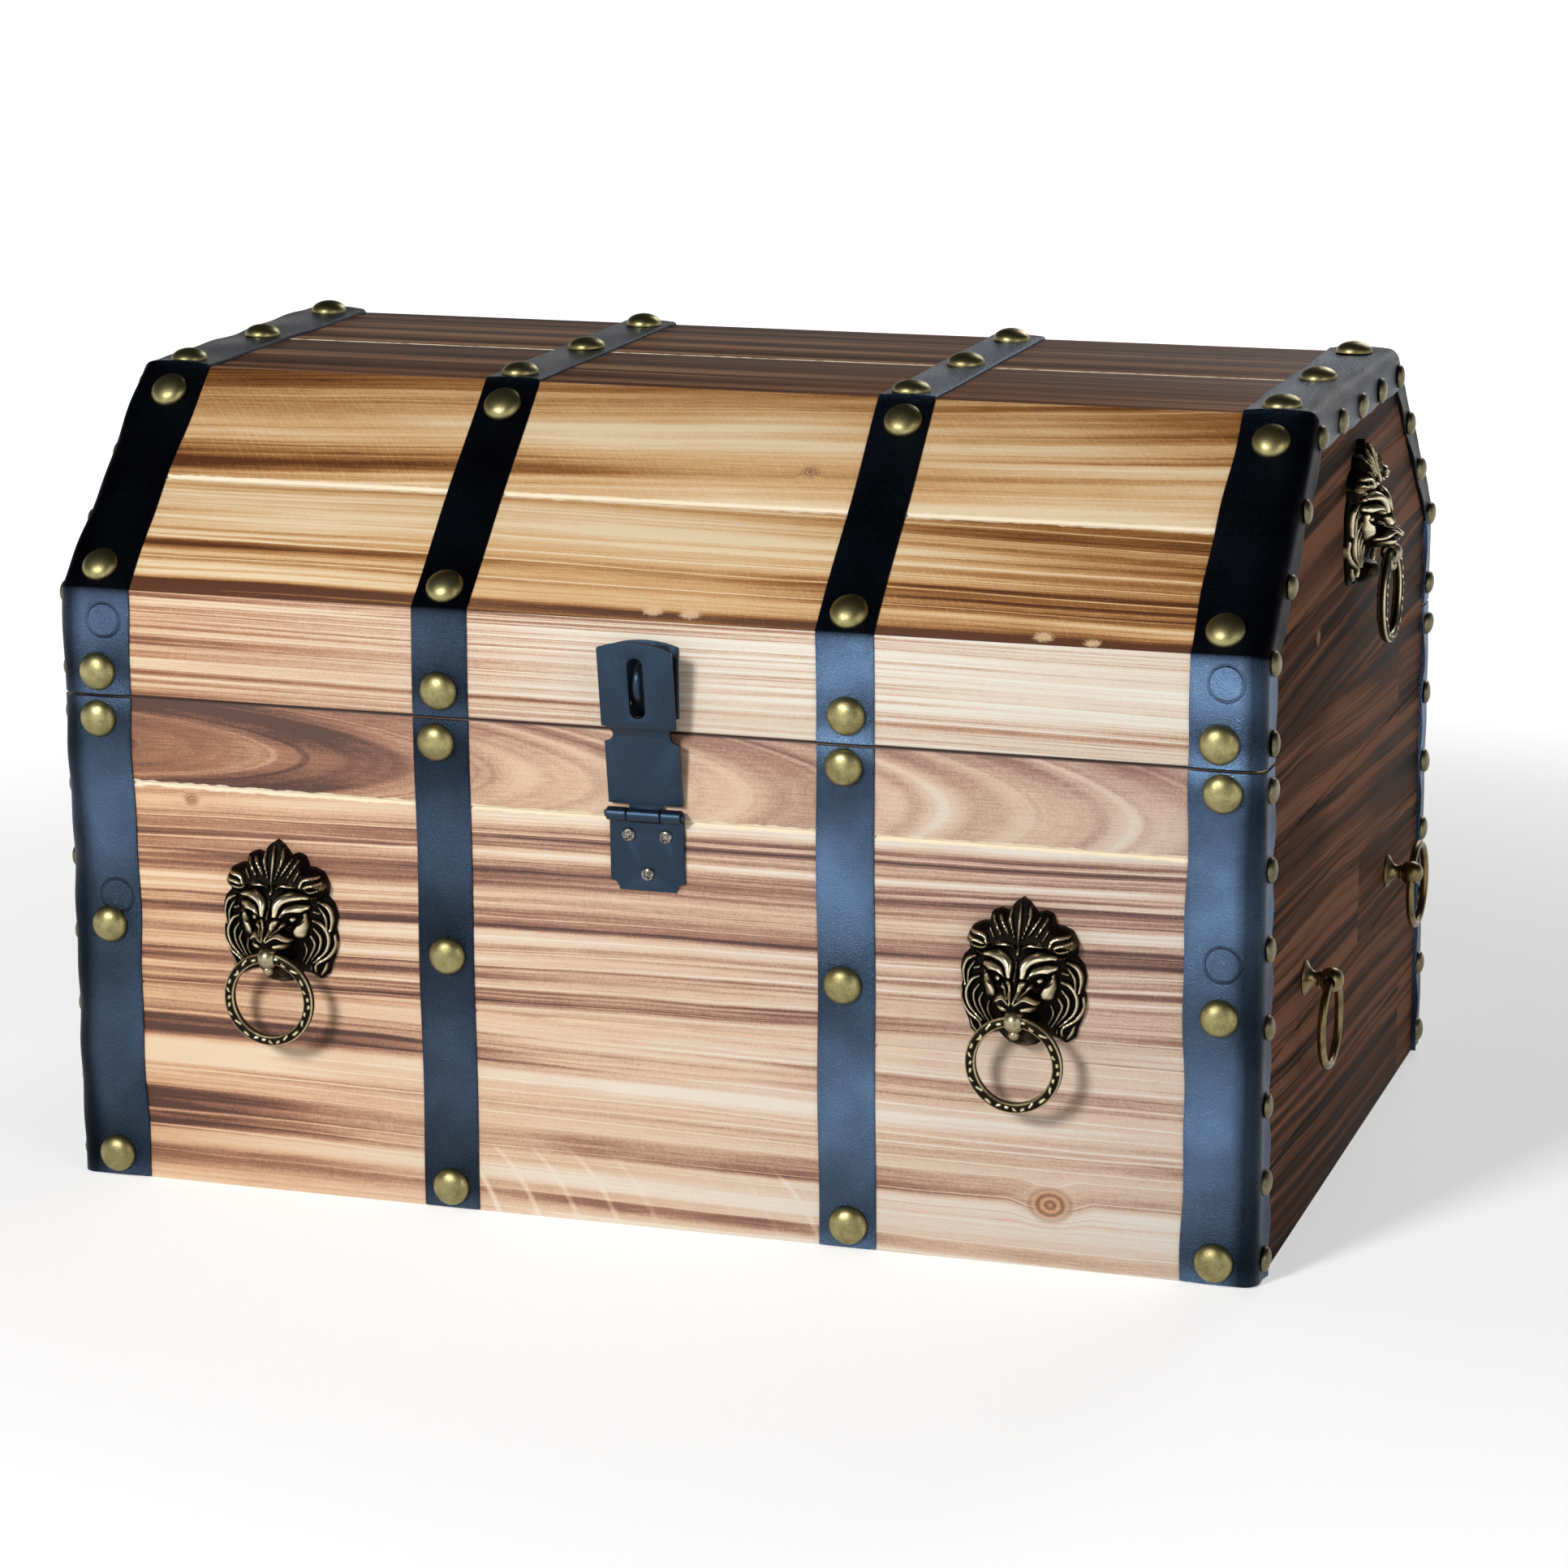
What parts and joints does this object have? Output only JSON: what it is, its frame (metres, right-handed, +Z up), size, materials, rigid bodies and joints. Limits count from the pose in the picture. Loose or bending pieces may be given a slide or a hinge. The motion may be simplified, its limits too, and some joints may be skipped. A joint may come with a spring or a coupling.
{
  "type": "treasure chest box",
  "caption": "Wooden treasure chest with a hipped hinged lid, dome-nailed straps, a hasp and staple, and lion mask ring pulls on its front and ends.",
  "frame": {"origin": "floor level under the middle of the wooden base", "axes": "+X along the length to the right as the front is seen, +Y to the back, +Z up"},
  "size_m": [0.4738, 0.3218, 0.2915],
  "materials": {
    "pine_base": "torched pine, clear matt varnish",
    "pine_lid": "torched pine, amber satin varnish",
    "pine_top": "torched pine, satin varnish",
    "pine_ends": "heavily torched pine, satin varnish",
    "plywood_floor": "bare plywood",
    "strap_vinyl": "grained black vinyl",
    "nail_brass": "antique brass, polished domes",
    "tack_brass": "antique brass",
    "screw_steel": "worn steel",
    "hasp_black": "satin black paint",
    "lion_bronze": "dark antique bronze",
    "ring_bronze": "dark antique bronze",
    "pull_brass": "antique brass",
    "hinge_brass": "antique brass"
  },
  "bodies": {
    "base": {"base_back_board_lower": "pine_base", "base_back_board_middle": "pine_base", "base_back_board_upper": "pine_base", "base_back_left_strap": "strap_vinyl", "base_back_mid_straps": "strap_vinyl", "base_back_right_strap": "strap_vinyl", "base_bottom_panel": "plywood_floor", "base_dome_nails": "nail_brass", "base_flange_tacks": "tack_brass", "base_front_board_lower": "pine_base", "base_front_board_middle": "pine_base", "base_front_board_upper": "pine_base", "base_front_left_strap": "strap_vinyl", "base_front_mid_straps": "strap_vinyl", "base_front_right_strap": "strap_vinyl", "base_left_end": "pine_ends", "base_lion_screws": "screw_steel", "base_right_end": "pine_ends", "front_left_lion_mask": "lion_bronze", "front_right_lion_mask": "lion_bronze", "hasp_lower_leaf": "hasp_black", "hasp_pin": "hasp_black", "hasp_screws": "screw_steel", "hinge_base_leaves": "hinge_brass", "hinge_base_screws": "hinge_brass", "hinge_pins": "hinge_brass", "ring_posts": "pull_brass"},
    "lid": {"hinge_lid_leaves": "hinge_brass", "hinge_lid_screws": "hinge_brass", "lid_back_rail": "pine_lid", "lid_back_slope_lower": "pine_lid", "lid_back_slope_upper": "pine_lid", "lid_dome_nails": "nail_brass", "lid_flange_tacks": "tack_brass", "lid_front_rail": "pine_lid", "lid_front_slope_lower": "pine_lid", "lid_front_slope_upper": "pine_lid", "lid_left_end": "pine_ends", "lid_left_end_strap": "strap_vinyl", "lid_left_lion_mask": "lion_bronze", "lid_lion_screws": "screw_steel", "lid_mid_straps": "strap_vinyl", "lid_right_end": "pine_ends", "lid_right_end_strap": "strap_vinyl", "lid_right_lion_mask": "lion_bronze", "lid_top_back_board": "pine_top", "lid_top_front_board": "pine_top", "staple": "hasp_black", "staple_plate": "hasp_black", "staple_screws": "screw_steel"},
    "hasp": {"hasp_leaf": "hasp_black"},
    "front_left_lion_ring": {"front_left_lion_ring": "ring_bronze"},
    "front_right_lion_ring": {"front_right_lion_ring": "ring_bronze"},
    "left_back_pull_ring": {"left_back_pull_ring": "pull_brass"},
    "left_front_pull_ring": {"left_front_pull_ring": "pull_brass"},
    "lid_left_lion_ring": {"lid_left_lion_ring": "ring_bronze"},
    "lid_right_lion_ring": {"lid_right_lion_ring": "ring_bronze"},
    "right_back_pull_ring": {"right_back_pull_ring": "pull_brass"},
    "right_front_pull_ring": {"right_front_pull_ring": "pull_brass"}
  },
  "joints": [
    {"name": "lid_hinge", "type": "hinge", "parent": "base", "child": "lid", "pos_m": [0, 0.1514, 0.1795], "axis": [-1, 0, 0], "range_deg": [0, 140]},
    {"name": "hasp_hinge", "type": "hinge", "parent": "base", "child": "hasp", "pos_m": [0.0023, -0.1514, 0.1505], "axis": [1, 0, 0], "range_deg": [-8, 170]},
    {"name": "front_left_ring_swing", "type": "hinge", "parent": "base", "child": "front_left_lion_ring", "pos_m": [-0.1365, -0.161, 0.091], "axis": [-1, 0, 0], "range_deg": [-18, 150]},
    {"name": "lid_left_ring_swing", "type": "hinge", "parent": "lid", "child": "lid_left_lion_ring", "pos_m": [-0.2305, 0, 0.226], "axis": [0, 1, 0], "range_deg": [-18, 150]},
    {"name": "left_front_pull_swing", "type": "hinge", "parent": "base", "child": "left_front_pull_ring", "pos_m": [-0.227, -0.075, 0.089], "axis": [0, 1, 0], "range_deg": [-14, 165]},
    {"name": "left_back_pull_swing", "type": "hinge", "parent": "base", "child": "left_back_pull_ring", "pos_m": [-0.227, 0.075, 0.089], "axis": [0, 1, 0], "range_deg": [-14, 165]},
    {"name": "front_right_ring_swing", "type": "hinge", "parent": "base", "child": "front_right_lion_ring", "pos_m": [0.1365, -0.161, 0.091], "axis": [-1, 0, 0], "range_deg": [-18, 150]},
    {"name": "lid_right_ring_swing", "type": "hinge", "parent": "lid", "child": "lid_right_lion_ring", "pos_m": [0.2305, 0, 0.226], "axis": [0, -1, 0], "range_deg": [-18, 150]},
    {"name": "right_front_pull_swing", "type": "hinge", "parent": "base", "child": "right_front_pull_ring", "pos_m": [0.227, -0.075, 0.089], "axis": [0, -1, 0], "range_deg": [-14, 165]},
    {"name": "right_back_pull_swing", "type": "hinge", "parent": "base", "child": "right_back_pull_ring", "pos_m": [0.227, 0.075, 0.089], "axis": [0, -0.5, -0.866], "range_deg": [-14, 165]}
  ]
}
